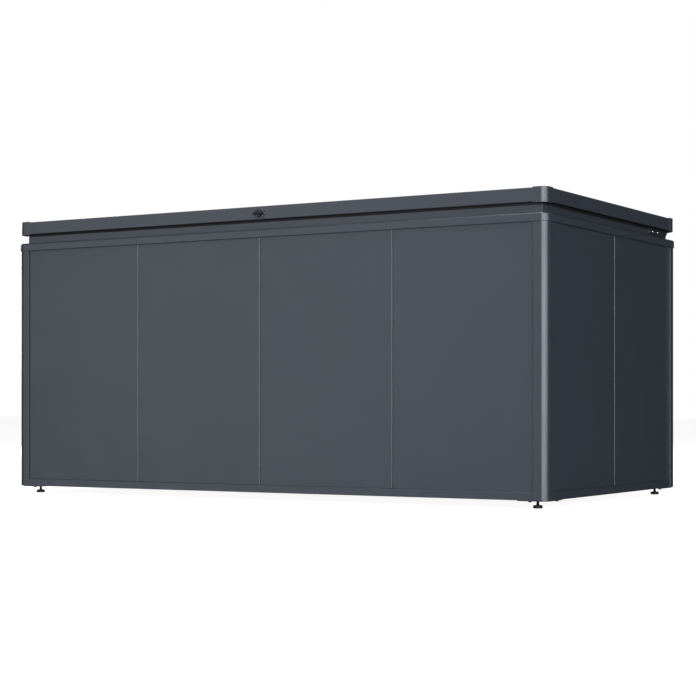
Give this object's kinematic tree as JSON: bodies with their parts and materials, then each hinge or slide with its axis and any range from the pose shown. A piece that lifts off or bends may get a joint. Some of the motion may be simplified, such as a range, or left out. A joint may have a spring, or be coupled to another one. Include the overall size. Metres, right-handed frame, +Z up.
{
  "type": "garden storage box",
  "caption": "Low rectangular metal storage box with corner posts, flush tray panels, stepped top frame, levelling feet and an overhanging locked lid that opens on rear pivots with gas springs.",
  "frame": {"origin": "on the ground, under the middle of the body between its outer post faces", "axes": "+X to the right along the front, +Y to the rear, +Z up; the front with the lock faces -Y"},
  "size_m": [1.8054, 0.966, 0.8445],
  "materials": {
    "coated_sheet": "fine satin powder coat on folded steel sheet",
    "coated_profile": "fine satin powder coat on extruded and cast aluminium",
    "floor_steel": "satin powder coat",
    "coated_steel": "satin powder coat",
    "seal_rubber": "matt black rubber",
    "bright_steel": "bright zinc-plated steel",
    "zinc_steel": "zinc-plated steel",
    "cylinder_black": "gloss black paint",
    "rod_chrome": "hard chrome",
    "lock_black": "satin black",
    "foot_plastic": "matt black plastic on a steel screw"
  },
  "bodies": {
    "chest": {"bottom_rail_front": "coated_profile", "bottom_rail_left": "coated_profile", "bottom_rail_rear": "coated_profile", "bottom_rail_right": "coated_profile", "floor_beams": "floor_steel", "floor_sheet_left": "floor_steel", "floor_sheet_right": "floor_steel", "foot_plates": "coated_steel", "foot_screws": "coated_steel", "front_panel_1": "coated_sheet", "front_panel_2": "coated_sheet", "front_panel_3": "coated_sheet", "front_panel_4": "coated_sheet", "hinge_pins": "bright_steel", "hinge_plate_left": "coated_steel", "hinge_plate_right": "coated_steel", "hinge_screws": "bright_steel", "left_panel_front": "coated_sheet", "left_panel_rear": "coated_sheet", "lid_seal": "seal_rubber", "lock_striker": "zinc_steel", "post_front_left": "coated_profile", "post_front_right": "coated_profile", "post_rear_left": "coated_profile", "post_rear_right": "coated_profile", "rear_panel_1": "coated_sheet", "rear_panel_2": "coated_sheet", "rear_panel_3": "coated_sheet", "rear_panel_4": "coated_sheet", "right_panel_front": "coated_sheet", "right_panel_rear": "coated_sheet", "spring_anchors": "zinc_steel", "top_frame_corners": "coated_profile", "top_rail_front": "coated_profile", "top_rail_left": "coated_profile", "top_rail_rear": "coated_profile", "top_rail_right": "coated_profile"},
    "lid": {"lid_arm_left": "coated_steel", "lid_arm_right": "coated_steel", "lid_rail_front": "coated_profile", "lid_rail_left": "coated_profile", "lid_rail_rear": "coated_profile", "lid_rail_right": "coated_profile", "lid_corners": "coated_profile", "lid_top": "coated_sheet", "lid_stiffeners": "floor_steel", "lid_spring_brackets": "zinc_steel", "lock_escutcheon": "lock_black", "lock_nut": "zinc_steel"},
    "lock_knob": {"lock_knob": "lock_black", "lock_cam": "zinc_steel"},
    "levelling_foot_front_left": {"levelling_foot_front_left": "foot_plastic"},
    "levelling_foot_front_right": {"levelling_foot_front_right": "foot_plastic"},
    "levelling_foot_rear_left": {"levelling_foot_rear_left": "foot_plastic"},
    "levelling_foot_rear_right": {"levelling_foot_rear_right": "foot_plastic"},
    "gas_cylinder_left": {"gas_cylinder_left": "cylinder_black"},
    "gas_rod_left": {"gas_rod_left": "rod_chrome"},
    "gas_cylinder_right": {"gas_cylinder_right": "cylinder_black"},
    "gas_rod_right": {"gas_rod_right": "rod_chrome"}
  },
  "joints": [
    {"name": "lid_hinge", "type": "hinge", "parent": "chest", "child": "lid", "pos_m": [0, 0.4635, 0.808], "axis": [-1, 0, 0], "range_deg": [0, 75]},
    {"name": "lock_turn", "type": "hinge", "parent": "lid", "child": "lock_knob", "pos_m": [0, -0.475, 0.822], "axis": [0, -1, 0], "range_deg": [0, 90]},
    {"name": "gas_cylinder_left_swing", "type": "hinge", "parent": "lid", "child": "gas_cylinder_left", "pos_m": [-0.843, 0.3235, 0.803], "axis": [1, 0, 0], "range_deg": [0, 47]},
    {"name": "gas_rod_left_slide", "type": "slide", "parent": "gas_cylinder_left", "child": "gas_rod_left", "axis": [0, 0.4158, -0.9095], "range_m": [0, 0.12219]},
    {"name": "gas_cylinder_right_swing", "type": "hinge", "parent": "lid", "child": "gas_cylinder_right", "pos_m": [0.843, 0.3235, 0.803], "axis": [1, 0, 0], "range_deg": [0, 47]},
    {"name": "gas_rod_right_slide", "type": "slide", "parent": "gas_cylinder_right", "child": "gas_rod_right", "axis": [0, 0.4158, -0.9095], "range_m": [0, 0.12219]},
    {"name": "levelling_foot_front_left_screw", "type": "slide", "parent": "chest", "child": "levelling_foot_front_left", "axis": [0, 0, 1], "range_m": [-0.006, 0.005]},
    {"name": "levelling_foot_front_right_screw", "type": "slide", "parent": "chest", "child": "levelling_foot_front_right", "axis": [0, 0, 1], "range_m": [-0.006, 0.005]},
    {"name": "levelling_foot_rear_left_screw", "type": "slide", "parent": "chest", "child": "levelling_foot_rear_left", "axis": [0, 0, 1], "range_m": [-0.006, 0.005]},
    {"name": "levelling_foot_rear_right_screw", "type": "slide", "parent": "chest", "child": "levelling_foot_rear_right", "axis": [0, 0, 1], "range_m": [-0.006, 0.005]}
  ],
  "couplings": [
    {"joint": "gas_cylinder_left_swing", "follows": "lid_hinge", "ratio": 0.62641},
    {"joint": "gas_rod_left_slide", "follows": "lid_hinge", "m_per_rad": 0.093268},
    {"joint": "gas_cylinder_right_swing", "follows": "lid_hinge", "ratio": 0.62641},
    {"joint": "gas_rod_right_slide", "follows": "lid_hinge", "m_per_rad": 0.093268}
  ]
}
